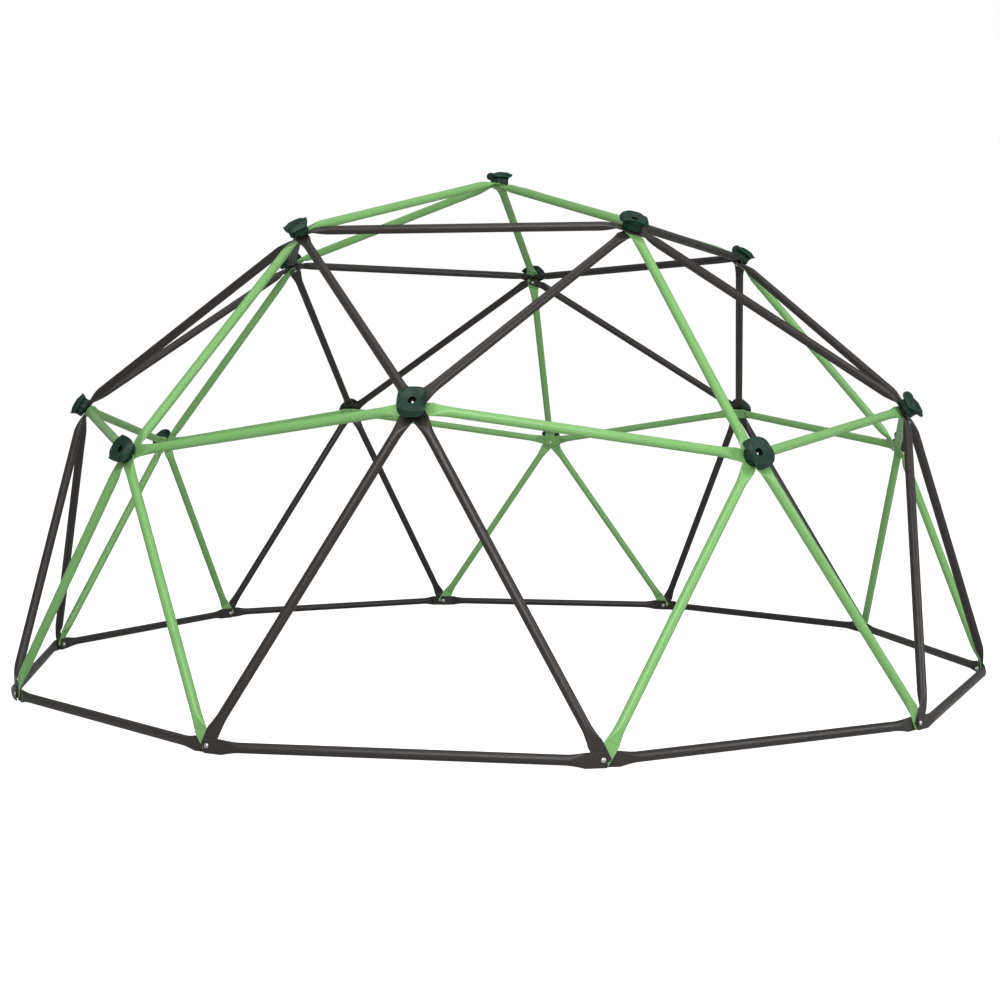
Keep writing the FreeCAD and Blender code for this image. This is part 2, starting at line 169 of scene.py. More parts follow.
BOLT_PAST_NUT = 3.0

# Fineness of the meshes
CORNER_TURNS = (0.0, 15.0, 30.0, 45.0, 60.0, 75.0, 90.0)            # degrees round a tab's corner
TAB_STATIONS = (-2.0, 4.0, 12.0, 20.0, 28.0, 34.0, 38.0, 40.5)      # from the bolt to the bend
PRESS_STATIONS = (0.02, 0.05, 0.09, 0.14, 0.2, 0.27, 0.35,          # shares of the pressed length
                  0.44, 0.54, 0.65, 0.76, 0.88, 1.0)
TUBE_SPANS = 8              # lengths of the straight tube
HOLE_SEGMENTS = 40
KNOB_SPOKES = 120
CAP_RINGS = 24
CAP_HIGHLIGHT_RINGS = 3          # rings over which the painted highlight on the cap's edge fades out
UNDER_RINGS = 14
UNDER_HIGHLIGHT_RINGS = 2
POCKET_RINGS = 6
PROFILE_CROWDING = 0.8      # below 1 it brings the rings closer together towards the cap's edge
BOLT_SEGMENTS = 40
HEAD_STATIONS = (0.06, 0.2, 0.35, 0.5, 0.65, 0.8, 0.92, 0.985)      # shares of the head's arc
THREAD_STEPS = 8            # rings to one turn of the thread
NUT_STEPS = 12              # points to one side of the hexagon
NUT_CHAMFER_STATIONS = (0.15, 0.35, 0.6, 1.0)                       # depths below the nut's face
FLOOR_SEGMENTS = 96
SHARP_DEGREES = 38.0        # edges sharper than this aren't smoothed over

# Slots, which are the names of the materials too
GREEN_SLOT = "green_powder_coat"
BRONZE_SLOT = "bronze_powder_coat"
KNOB_SLOT = "knob_plastic"
ZINC_SLOT = "zinc_plated_steel"

# Numbers that a mesh carries for its material's painted light and shade, one per point
LIGHT_AND_SHADE_NUMBER = "painted_light_and_shade"   # 0 on plain faces, and up to 1 on folded edges and the cap's rim, which get a painted highlight
# Painted highlight on the mouth of the knob's well
MOUTH_HIGHLIGHT = 0.4
# Marks the points in the knob's well that get painted shade
WELL_SHADE = -1.0

# Colours, linear
GREEN = (0.219, 0.487, 0.156)
BRONZE = (0.029, 0.0235, 0.0215)
KNOB_GREEN = (0.005, 0.034, 0.021)
ZINC = (0.70, 0.71, 0.73)
WHITE = (1.0, 1.0, 1.0, 1.0)
FLOOR_GREYS = (0.58, 0.61)

# Camera
CAMERA_ORBIT = 9.0          # degrees round the dome from -Y
CAMERA_DISTANCE = 4898.0    # from the dome's vertical axis
CAMERA_HEIGHT = 795.5
CAMERA_HEADING = 8.96
CAMERA_TILT = -3.09
CAMERA_ROLL = 0.1
CAMERA_LENS = 54.1
SENSOR_WIDTH = 36.0

# Floor and light
FLOOR_RADIUS = 40000.0
FLOOR_DROP = 0.5            # keeps the floor's face clear of the tabs that rest on it
FLOOR_GLOW = 0.95           # lifts the floor to white for the camera alone
WORLD_LIGHT = 0.29
LIGHT_AIM = [0.0, 0.0, 0.7]  # metres
# Degrees round the dome from -Y, degrees up, metres away, metres across and watts
LIGHTS = {"overhead": (20.0, 80.0, 5.0, 5.0, 62.0),
          "front": (6.0, 24.0, 4.6, 3.0, 109.0),
          "right": (68.0, 14.0, 4.8, 2.6, 55.0)}


def unit(v):
    v = np.asarray(v, float)
    return v / np.linalg.norm(v)


def smooth_step(t):
    t = np.clip(t, 0.0, 1.0)
    return t * t * (3 - 2 * t)


def angles_round(count):
    return np.linspace(0, 2 * math.pi, count, endpoint=False)


# Joints ------------------------------------------------------------------------------------------

def outward(azimuth, elevation):
    a, e = math.radians(azimuth), math.radians(elevation)
    return np.array([math.cos(e) * math.cos(a), math.cos(e) * math.sin(a), math.sin(e)])


def rib_azimuth(k):
    return FIRST_RIB_AZIMUTH + RIB_SPACING * k


def apex_joint():
    return np.array([0.0, 0.0, 1.0])


def upper_joint(k):
    return outward(rib_azimuth(k), 90.0 - SHORT_ANGLE)


def rib_joint(k):
    return outward(rib_azimuth(k), 90.0 - 2 * SHORT_ANGLE)


def face_joint(k):
    return outward(rib_azimuth(k) + RIB_SPACING / 2, SHORT_ANGLE)


def base_joint(k):
    return outward(rib_azimuth(0) + LONG_ANGLE * (k - 0.5), 0.0)


def joint_centre(normal):
    return normal * DOME_RADIUS + np.array([0.0, 0.0, BASE_BOLT_Z])


def stack_heights(stack):
    """Heights of the tabs on one bolt above the middle of their stack, from the inside out."""
    return [(place - (stack - 1) / 2) * TAB_THICK for place in range(stack)]


def raised_joints():
    """Knob node, knob name, normal, number of tabs and knob's turn of each joint with a knob."""
    joints = [("apex_knob", "knob_apex", apex_joint(), APEX_STACK, APEX_KNOB_TURN)]
    for k in range(RIBS):
        joints += [("upper_ring_knobs", f"knob_upper_{k + 1}", upper_joint(k), UPPER_STACK,
                    UPPER_KNOB_TURNS[k]),
                   ("rib_knobs", f"knob_rib_{k + 1}", rib_joint(k), RIB_STACK,
                    RIB_KNOB_TURNS[k]),
                   ("face_knobs", f"knob_face_{k + 1}", face_joint(k), FACE_STACK,
                    FACE_KNOB_TURNS[k])]
    return joints


# Meshes ------------------------------------------------------------------------------------------

class Mesh:
    """Points and faces gathered from several grids, with one number per point for the shader."""

    def __init__(self):
        self.points, self.faces, self.edge = [], [], []
        self.count = 0

    def add(self, points, faces, edge=None):
        points = np.asarray(points, float)
        self.points.append(points)
        self.edge.append(np.zeros(len(points)) if edge is None else np.asarray(edge, float))
        self.faces += [[i + self.count for i in face] for face in faces]
        self.count += len(points)

    def grid(self, rings, edge=None, close_start=True, close_end=True):
        """Closed rings of equally many points, joined in order by four-sided faces."""
        rings = np.asarray(rings, float)
        rows, cols = rings.shape[:2]
        faces = []
        for i in range(rows - 1):
            for j in range(cols):
                a, b = i * cols + j, i * cols + (j + 1) % cols
                faces.append([a, b, b + cols, a + cols])
        if close_start:
            faces.append(list(range(cols))[::-1])
        if close_end:
            faces.append([(rows - 1) * cols + j for j in range(cols)])
        self.add(rings.reshape(-1, 3), faces, None if edge is None else np.ravel(edge))

    def loop(self, rings, edge=None):
        """A grid whose last ring joins its first, with no ends."""
        rings = np.asarray(rings, float)
        self.grid(rings, edge, close_start=False, close_end=False)
        rows, cols = rings.shape[:2]
        first = self.count - rows * cols
        last = first + (rows - 1) * cols
        for j in range(cols):
            k = (j + 1) % cols
            self.faces.append([last + j, last + k, first + k, first + j])

    def placed(self, matrix):
        copy = Mesh()
        points = np.concatenate(self.points)
        moved = points @ matrix[:3, :3].T + matrix[:3, 3]
        copy.add(moved, self.faces, np.concatenate(self.edge))
        return copy

    def join(self, other):
        self.add(np.concatenate(other.points), other.faces, np.concatenate(other.edge))


def turned(rows, segments, wrap=False, edges=None):
    """Mesh turned about Z from (radius, height) rows, each one number or one per segment."""
    a = angles_round(segments)
    rings = [np.stack([r * np.cos(a), r * np.sin(a), z + 0 * a], axis=1) for r, z in rows]
    if edges is not None:
        edges = [np.full(segments, edge) for edge in edges]
    mesh = Mesh()
    if wrap:
        mesh.loop(rings, edges)
    else:
        mesh.grid(rings, edges)
    return mesh


def make_object(name, mesh, material):
    data = bpy.data.meshes.new(name)
    points = np.concatenate(mesh.points) * MILLIMETRE
    data.from_pydata([tuple(p) for p in points], [], mesh.faces)
    attribute = data.attributes.new(LIGHT_AND_SHADE_NUMBER, "FLOAT", "POINT")
    attribute.data.foreach_set("value", np.concatenate(mesh.edge).astype(np.float32))
    sides = bmesh.new()
    sides.from_mesh(data)
    bmesh.ops.recalc_face_normals(sides, faces=sides.faces)
    sides.to_mesh(data)
    sides.free()
    data.materials.append(material)
    data.shade_smooth()
    data.set_sharp_from_angle(angle=math.radians(SHARP_DEGREES))
    piece = bpy.data.objects.new(name, data)
    bpy.context.scene.collection.objects.link(piece)
    return piece


def stand_for(piece, node):
    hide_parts(node)
    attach(piece, BODY)


def frame_matrix(origin, x_axis, z_axis):
    m = np.eye(4)
    m[:3, 0], m[:3, 2] = x_axis, z_axis
    m[:3, 1] = np.cross(z_axis, x_axis)
    m[:3, 3] = origin
    return m


def joint_matrix(normal, height, facing=1, turn=0.0):
    """Placement of a part seated on a joint's stack, turned about the joint's normal."""
    across = np.cross([0.0, 0.0, 1.0], normal)
    across = np.array([1.0, 0.0, 0.0]) if np.linalg.norm(across) < 1e-6 else unit(across)
    seat = frame_matrix(joint_centre(normal) + normal * height, across, normal * facing)
    a = math.radians(turn)
    spin = np.eye(4)
    spin[:2, :2] = [[math.cos(a), -math.sin(a)], [math.sin(a), math.cos(a)]]
    return seat @ spin


# Struts ------------------------------------------------------------------------------------------

# Spacing of a section's points from the middle of the flat to the folded edge, as shares of that
# quarter of the outline: crowded at the tab's rim, even round the tube
FLAT_SHARES = [0.0, 0.45, 0.72, 0.77, 0.81, 0.845, 0.875]
FOLD_SHARES = [0.90, 0.925, 0.95, 0.975, 1.0]
TAB_SHARES = np.array(FLAT_SHARES + FOLD_SHARES)
QUARTER = len(TAB_SHARES) - 1
TUBE_SHARES = np.linspace(0, 1, QUARTER + 1)


def quarter_outline(half_width, half_height, dish, evenness):
    """Points from the middle of the upper flat to the edge, and each one's share in the rim."""
    flat = half_width - half_height
    length = flat + half_height * math.pi / 2
    shares = TAB_SHARES * (1 - evenness) + TUBE_SHARES * evenness
    along = shares * length
    angle = np.clip((along - flat) / half_height, 0.0, math.pi / 2)
    y = np.where(along < flat, along, flat + half_height * np.sin(angle))
    z = half_height * np.cos(angle)
    rim_start = half_width - TAB_RIM
    in_rim = smooth_step((y - rim_start) / (RIM_RISE * TAB_RIM))
    z = z - dish * (1 - in_rim) * (along < flat)
    return y, z, in_rim


def section(half_width, half_height, dish, evenness):
    """Whole outline, clockwise from the middle of the upper flat, with its shares in the rim."""
    y, z, rim = quarter_outline(half_width, half_height, dish, evenness)
    ys = np.concatenate([y, y[-2::-1], -y[1:], -y[-2:0:-1]])
    zs = np.concatenate([z, -z[-2::-1], -z[1:], z[-2:0:-1]])
    rims = np.concatenate([rim, rim[-2::-1], rim[1:], rim[-2:0:-1]])
    return ys, zs, rims


def press_opening(station):
    return 1 - (1 - station) ** PRESS_POWER


def end_sections(bolt, tab_dir, tab_out, tube_dir, tube_out):
    """Sections of one end of a strut from the seam on its cut end to the full round tube."""
    rings, edges = [], []

    def ring(centre, out, half_width, half_height, dish, evenness, highlight_scale):
        ys, zs, rims = section(half_width, half_height, dish, evenness)
        rings.append(centre + np.outer(ys, [0.0, 1.0, 0.0]) + np.outer(zs, out))
        # A point's share in the rim sets how much painted highlight it gets
        edges.append(rims * highlight_scale)

    half_width, half_thick = TAB_WIDTH / 2, TAB_THICK / 2
    end_width = half_width - TAB_CORNER
    cut = -BOLT_TO_CUT_END
    for along in (SEAM_DEPTH, 0.0):
        ring(bolt + tab_dir * (cut + along), tab_out, end_width - SEAM_INSET, SEAM_HALF_GAP,
             0, 0, 1)
    ring(bolt + tab_dir * cut, tab_out, end_width, half_thick - CUT_BEVEL, 0, 0, 1)
    for turn in CORNER_TURNS:
        a = math.radians(turn)
        along = max(TAB_CORNER * (1 - math.cos(a)), CUT_BEVEL)
        width = end_width + TAB_CORNER * math.sin(a)
        rise = smooth_step(along / TAB_CORNER)
        ring(bolt + tab_dir * (cut + along), tab_out, width, half_thick, TAB_DISH * rise, 0, 1)
    for along in TAB_STATIONS:
        ring(bolt + tab_dir * along, tab_out, half_width, half_thick, TAB_DISH, 0, 1)
    bend = bolt + tab_dir * BOLT_TO_BEND
    ring(bend, unit(tab_out + tube_out), half_width, half_thick, TAB_DISH, 0, 1)
    for station in PRESS_STATIONS:
        opening = press_opening(station)
        height = TAB_THICK + (TUBE_DIA - TAB_THICK) * opening
        width = TAB_WIDTH - (TAB_WIDTH - TUBE_DIA) * opening
        # The painted highlight on the folded edges fades out along the press
        ring(bend + tube_dir * (PRESS_LENGTH * station), tube_out, width / 2, height / 2,
             TAB_DISH * (1 - smooth_step(station / DISH_GONE)),
             smooth_step(station / TAB_SPACING_GONE), 1 - smooth_step(station / RIM_HIGHLIGHT_GONE))
    return rings, edges


def hole_rim(x_axis, z_axis):
    """Points round a bolt hole centred on the origin, square to z_axis."""
    y_axis = np.cross(z_axis, x_axis)
    a = angles_round(HOLE_SEGMENTS)
    return BOLT_HOLE_DIA / 2 * (np.outer(np.cos(a), x_axis) + np.outer(np.sin(a), y_axis))


def strut(angle, start_height, end_height):
    """Strut along X with its middle at the origin, Z to the outside, and the plugs of its holes."""
    half_angle = math.radians(angle / 2)
    half_length = DOME_RADIUS * math.sin(half_angle)
    ends = []
    for side, height in ((-1, start_height), (1, end_height)):
        tab_out = np.array([side * math.sin(half_angle), 0.0, math.cos(half_angle)])
        tab_dir = np.array([-side * math.cos(half_angle), 0.0, math.sin(half_angle)])
        bolt = np.array([side * half_length, 0.0, 0.0]) + tab_out * height
        ends.append((bolt, tab_dir, tab_out))
    bends = [bolt + tab_dir * BOLT_TO_BEND for bolt, tab_dir, tab_out in ends]
    axis = unit(bends[1] - bends[0])
    tube_out = unit(np.cross([0.0, 1.0, 0.0], -axis))
    tube_out = tube_out if tube_out[2] > 0 else -tube_out

    rings, edges = end_sections(*ends[0], axis, tube_out)
    last_rings, last_edges = end_sections(*ends[1], -axis, tube_out)
    tube_start, tube_end = rings[-1], last_rings[-1]
    for i in range(1, TUBE_SPANS):
        rings.append(tube_start + (tube_end - tube_start) * (i / TUBE_SPANS))
        edges.append(edges[-1])
    shell = Mesh()
    shell.grid(rings + last_rings[::-1], edges + last_edges[::-1])
    plugs = Mesh()
    for bolt, tab_dir, tab_out in ends:
        rim = hole_rim(tab_dir, tab_out)
        plugs.grid([bolt + tab_out * (side * TAB_THICK) + rim for side in (-1, 1)])
    return shell, plugs


def strut_between(start, start_height, end, end_height):
    """A strut's shell and its hole plugs, placed between two joints."""
    angle = math.degrees(math.acos(float(np.dot(start, end))))
    middle = (joint_centre(start) + joint_centre(end)) / 2
    matrix = frame_matrix(middle, unit(end - start), unit(start + end))
    shell, plugs = strut(angle, start_height, end_height)
    return shell.placed(matrix), plugs.placed(matrix)


def drilled(name, shell, plugs, material):
    """A strut's shell as an object, with its bolt holes cut through."""
    piece = make_object(name, shell, material)
    cutter = make_object(name + "_plugs", plugs, material)
    cut = piece.modifiers.new("holes", "BOOLEAN")
    cut.operation, cut.solver, cut.object = "DIFFERENCE", "EXACT", cutter
    graph = bpy.context.evaluated_depsgraph_get()
    data = bpy.data.meshes.new_from_object(
        piece.evaluated_get(graph), preserve_all_data_layers=True, depsgraph=graph)
    whole, plug_data = piece.data, cutter.data
    piece.modifiers.clear()
    piece.data = data
    bpy.data.objects.remove(cutter)
    bpy.data.meshes.remove(plug_data)
    bpy.data.meshes.remove(whole)
    data.name = name
    data.shade_smooth()
    data.set_sharp_from_angle(angle=math.radians(SHARP_DEGREES))
    return piece


def make_struts(node, runs, material):
    """A piece for each strut of a CAD node; a run is two joints with the heights of its tabs."""
    for i, run in enumerate(runs):
        name = node + "_tube" if len(runs) == 1 else f"{node}_tube_{i + 1}"
        shell, plugs = strut_between(*run)
        stand_for(drilled(name, shell, plugs, material), node)


def make_all_struts(green, bronze):
    apex, upper, rib, face, base = (stack_heights(stack) for stack in (
        APEX_STACK, UPPER_STACK, RIB_STACK, FACE_STACK, BASE_STACK))
    for k in range(RIBS):
        make_struts(f"apex_strut_{k + 1}",
                    [(apex_joint(), apex[k], upper_joint(k), upper[UPPER_APEX])],
                    green)
        make_struts(f"upper_ring_strut_{k + 1}",
                    [(upper_joint(k), upper[UPPER_RING_AFTER],
                      upper_joint(k + 1), upper[UPPER_RING_BEFORE])], bronze)
        make_struts(f"rib_strut_{k + 1}",
                    [(upper_joint(k), upper[UPPER_RIB], rib_joint(k), rib[RIB_FROM_UPPER])],
                    green)
        make_struts(f"diagonal_pair_{k + 1}",
                    [(upper_joint(k), upper[UPPER_DIAGONAL_AFTER],
                      face_joint(k), face[FACE_DIAGONAL_BEFORE]),
                     (upper_joint(k + 1), upper[UPPER_DIAGONAL_BEFORE],
                      face_joint(k), face[FACE_DIAGONAL_AFTER])], bronze)
        make_struts(f"middle_ring_strut_{2 * k + 1}",
                    [(rib_joint(k), rib[RIB_RING_AFTER], face_joint(k), face[FACE_RING_BEFORE])],
                    green)
        make_struts(f"middle_ring_strut_{2 * k + 2}",
                    [(face_joint(k), face[FACE_RING_AFTER],
                      rib_joint(k + 1), rib[RIB_RING_BEFORE])], green)
        make_struts(f"rib_leg_pair_{k + 1}",
                    [(rib_joint(k), rib[RIB_LEG_BEFORE], base_joint(2 * k), base[BASE_GREEN_LEG]),
                     (rib_joint(k), rib[RIB_LEG_AFTER],
                      base_joint(2 * k + 1), base[BASE_GREEN_LEG])], green)
        make_struts(f"face_leg_pair_{k + 1}",
                    [(face_joint(k), face[FACE_LEG_BEFORE],
                      base_joint(2 * k + 1), base[BASE_BRONZE_LEG]),
                     (face_joint(k), face[FACE_LEG_AFTER],
                      base_joint(2 * k + 2), base[BASE_BRONZE_LEG])], bronze)
    for k in range(BASE_JOINTS):
        height = base[BASE_RAIL_INNER if k % 2 == 0 else BASE_RAIL_OUTER]
        make_struts(f"base_rail_{k + 1}", [(base_joint(k), height, base_joint(k + 1), height)],
                    bronze)


# Knobs -------------------------------------------------------------------------------------------

def smooth_through(points, samples):
    """Samples of a smooth curve through a profile's points, closer together towards the last."""
    p = np.asarray(points, float)
    p = np.vstack([2 * p[0] - p[1], p, 2 * p[-1] - p[-2]])
    spans = len(p) - 3
    t = np.linspace(0, 1, samples) ** PROFILE_CROWDING * spans
    i = np.minimum(t.astype(int), spans - 1)
    f = (t - i)[:, None]
    a, b, c, d = p[i], p[i + 1], p[i + 2], p[i + 3]
    return 0.5 * (2 * b + (c - a) * f + (2 * a - 5 * b + 4 * c - d) * f ** 2
                  + (3 * b - a - 3 * c + d) * f ** 3)


def knob_outline(angles):
    """Reach of the cap: a flat across each lobe's end and each waist, with rounded corners."""
    total = np.zeros(len(angles))
    for i in range(2 * KNOB_LOBES):
        reach = KNOB_LOBE_REACH if i % 2 == 0 else KNOB_WAIST_REACH
        facing = np.cos(angles - math.pi * i / KNOB_LOBES)
        total += np.maximum(facing / reach, 0.0) ** KNOB_CORNER_SHARPNESS
    return total ** (-1 / KNOB_CORNER_SHARPNESS)


def knob_mesh():
    """Oblong cap with a dished top, drooping ends and flared sides, on a ribbed neck."""
    angles = angles_round(KNOB_SPOKES)
    reach = knob_outline(angles)
    lobe = smooth_step((np.cos(KNOB_LOBES * angles) + KNOB_LOBE_BLEND) / (2 * KNOB_LOBE_BLEND))
    corner = KNOB_CORNER_DROOP * np.sin(KNOB_LOBES * angles) ** 2
    bore, well, neck = BOLT_HOLE_DIA / 2, KNOB_WELL_DIA / 2, KNOB_NECK_DIA / 2
    mouth, root = well + KNOB_MOUTH_EDGE, neck + KNOB_NECK_EDGE

    def swept(start, lobe_profile, waist_profile, samples):
        """Radii and heights of rings that run out from the start to the cap's outline."""
        inner = start[0]
        at_lobe = smooth_through([start] + lobe_profile, samples)
        at_waist = smooth_through([start] + waist_profile, samples)
        lobe_share = (at_lobe[:, :1] - inner) / (KNOB_LOBE_REACH - inner)
        waist_share = (at_waist[:, :1] - inner) / (KNOB_WAIST_REACH - inner)
        share = lobe_share * lobe + waist_share * (1 - lobe)
        r = inner + share * (reach - inner)
        z = at_lobe[:, 1:] * lobe + at_waist[:, 1:] * (1 - lobe)
        return r, z - corner * np.clip((r - neck) / (reach - neck), 0.0, 1.0)

    def fading(i, rings, highlight_rings):
        """1 on the last ring of a surface, falling to 0 over the rings before it: the share of
        painted highlight.
        """
        return max(0.0, 1.0 - (rings - 1 - i) / highlight_rings)

    top_r, top_z = swept((mouth, KNOB_MOUTH_Z), KNOB_TOP_AT_LOBE, KNOB_TOP_AT_WAIST, CAP_RINGS)
    under_r, under_z = swept((root, KNOB_ROOT_Z), KNOB_UNDER_AT_LOBE, KNOB_UNDER_AT_WAIST,
                             UNDER_RINGS)

    rows = []

    def row(r, z, edge=0.0):
        rows.append((r, z, edge))

    # Neck, from its seat up
    row(bore, 0.0)
    row(neck - KNOB_NECK_EDGE, 0.0)
    row(neck, KNOB_NECK_EDGE)
    phase = (angles * KNOB_RIBS / (2 * math.pi) + 0.5) % 1.0 - 0.5
    rib_distance = np.abs(phase) * 2 * math.pi / KNOB_RIBS * neck
    recess = KNOB_POCKET_DEPTH * smooth_step((rib_distance - KNOB_RIB_WIDTH / 2) / KNOB_RIB_FLANK)
    pocket_low, pocket_high = KNOB_POCKET_Z
    row(neck, pocket_low - KNOB_POCKET_RUN_OUT)
    for z in np.linspace(pocket_low + KNOB_POCKET_RUN_IN, pocket_high - KNOB_POCKET_RUN_IN,
                         POCKET_RINGS):
        row(neck - recess, z)
    row(neck, pocket_high + KNOB_POCKET_RUN_OUT)
    row(neck, KNOB_ROOT_Z - KNOB_NECK_EDGE)

    # Underside of the cap, its rim, and its top back to the mouth of the well; a painted highlight
    # fades in towards the rim from both sides
    for i in range(UNDER_RINGS):
        row(under_r[i], under_z[i], fading(i, UNDER_RINGS, UNDER_HIGHLIGHT_RINGS))
    row(top_r[-1] + KNOB_RIM_BULGE, (under_z[-1] + top_z[-1]) / 2, 1.0)
    for i in reversed(range(CAP_RINGS)):
        row(top_r[i], top_z[i], fading(i, CAP_RINGS, CAP_HIGHLIGHT_RINGS))

    # Well, with a painted highlight on its mouth and painted shade on its walls and floor, and the
    # bush's seat under its floor
    for (outside, depth), edge in zip(KNOB_MOUTH_WALL, (MOUTH_HIGHLIGHT, 0.0, WELL_SHADE)):
        row(well + outside, KNOB_MOUTH_Z - depth, edge)
    row(well - KNOB_WELL_TAPER, KNOB_WELL_FLOOR_Z + KNOB_FLOOR_EDGE, WELL_SHADE)
    row(well - (KNOB_WELL_TAPER + KNOB_FLOOR_EDGE), KNOB_WELL_FLOOR_Z, WELL_SHADE)
    row(bore, KNOB_WELL_FLOOR_Z, WELL_SHADE)
    row(bore, KNOB_WELL_FLOOR_Z - KNOB_LIP, WELL_SHADE)
    row(INSERT_DIA / 2, KNOB_WELL_FLOOR_Z - KNOB_LIP)
    row(INSERT_DIA / 2, KNOB_WELL_FLOOR_Z - INSERT_LENGTH)
    row(bore, KNOB_WELL_FLOOR_Z - INSERT_LENGTH)
    return turned([(r, z) for r, z, edge in rows], KNOB_SPOKES, wrap=True,
                  edges=[edge for r, z, edge in rows])


def make_knobs(plastic):
    shape = knob_mesh()
    for node, name, normal, stack, turn in raised_joints():
        placed = shape.placed(joint_matrix(normal, stack * TAB_THICK / 2, turn=turn))
        stand_for(make_object(name, placed, plastic), node)


# Fasteners ---------------------------------------------------------------------------------------

def bolt_mesh(length):
    """Bolt with a low spherical head above Z = 0 and a thread on the end of its shank."""
    head, shank = BOLT_HEAD_DIA / 2, BOLT_DIA / 2
    rise = BOLT_HEAD_HEIGHT - BOLT_HEAD_EDGE
    sphere = (head ** 2 + rise ** 2) / (2 * rise)
    widest = math.asin(head / sphere)
    rows = []
    for station in HEAD_STATIONS:
        a = widest * station
        rows.append((sphere * math.sin(a), BOLT_HEAD_HEIGHT - sphere * (1 - math.cos(a))))
    rows += [(head, BOLT_HEAD_EDGE - BOLT_HEAD_ROUND), (head, BOLT_HEAD_BEVEL),
             (head - BOLT_HEAD_BEVEL, 0.0), (shank + BOLT_NECK_WIDTH, 0.0),
             (shank, -BOLT_NECK_HEIGHT)]
    angles = angles_round(BOLT_SEGMENTS)
    start = -length + THREAD_LENGTH
    steps = int(THREAD_LENGTH / THREAD_PITCH * THREAD_STEPS)
    for i in range(steps + 1):
        z = start - (THREAD_LENGTH - BOLT_TIP_ROUND) * i / steps
        groove = 0.5 + 0.5 * np.cos(2 * math.pi * (z - start) / THREAD_PITCH - angles)
        into = min(1.0, i / THREAD_STEPS)
        tip = max(0.0, 1.0 - (z + length) / BOLT_TIP_HEIGHT)
        rows.append((np.minimum(shank - THREAD_DEPTH * groove * into,
                                shank - BOLT_TIP_BEVEL * tip), z))
    rows.append((shank - BOLT_TIP_INSET, -length))
    return turned(rows, BOLT_SEGMENTS)


def nut_mesh():
    """Hexagon nut on Z = 0 with both faces chamfered and a countersunk bore."""
    sides = 6
    angles = angles_round(sides * NUT_STEPS)
    from_corner = angles % (2 * math.pi / sides)
    hexagon = (NUT_ACROSS_FLATS / 2) / np.cos(from_corner - math.pi / sides)
    face = NUT_ACROSS_FLATS / 2 - NUT_FACE_INSET
    bore = BOLT_DIA / 2 + THREAD_GAP
    sunk = bore + NUT_SINK_WIDTH
    chamfer = [(np.minimum(hexagon, face + z * NUT_CHAMFER_SLOPE), z) for z in NUT_CHAMFER_STATIONS]
    rows = [(bore, NUT_SINK_DEPTH), (sunk, 0.0), (face, 0.0)]
    rows += chamfer
    rows += [(r, NUT_HEIGHT - z) for r, z in reversed(chamfer)]
    rows += [(face, NUT_HEIGHT), (sunk, NUT_HEIGHT), (bore, NUT_HEIGHT - NUT_SINK_DEPTH)]
    return turned(rows, sides * NUT_STEPS, wrap=True)


def insert_mesh():
    """Bush with a countersunk bore, whose outer end lies under the knob's lip."""
    bore, outer = BOLT_DIA / 2 + THREAD_GAP, INSERT_DIA / 2
    top, bottom = KNOB_WELL_FLOOR_Z - KNOB_LIP, KNOB_WELL_FLOOR_Z - INSERT_LENGTH
    rows = [(bore, top - INSERT_SINK), (bore + INSERT_SINK, top), (outer - INSERT_EDGE, top),
            (outer, top - INSERT_EDGE), (outer, bottom), (bore, bottom)]
    return turned(rows, BOLT_SEGMENTS, wrap=True)


def make_fasteners(zinc):
    bolts, inserts, base_bolts, nuts = Mesh(), Mesh(), Mesh(), Mesh()
    insert = insert_mesh()
    hub_bolt = {stack: bolt_mesh(stack * TAB_THICK + BOLT_END_Z)
                for stack in (APEX_STACK, UPPER_STACK, RIB_STACK, FACE_STACK)}
    for node, name, normal, stack, turn in raised_joints():
        half = stack * TAB_THICK / 2
        inserts.join(insert.placed(joint_matrix(normal, half)))
        bolts.join(hub_bolt[stack].placed(joint_matrix(normal, -half, INWARD)))
    half = BASE_STACK * TAB_THICK / 2
    base_bolt, nut = bolt_mesh(2 * half + NUT_HEIGHT + BOLT_PAST_NUT), nut_mesh()
    for k in range(BASE_JOINTS):
        base_bolts.join(base_bolt.placed(joint_matrix(base_joint(k), half)))
        nuts.join(nut.placed(joint_matrix(base_joint(k), -half, INWARD)))
    for name, mesh, node in (("hub_bolts_turned", bolts, "hub_bolts"),
                             ("knob_inserts_turned", inserts, "knob_inserts"),
                             ("base_bolts_turned", base_bolts, "base_bolts"),
                             ("base_nuts_turned", nuts, "base_nuts")):
        stand_for(make_object(name, mesh, zinc), node)


# Materials ---------------------------------------------------------------------------------------

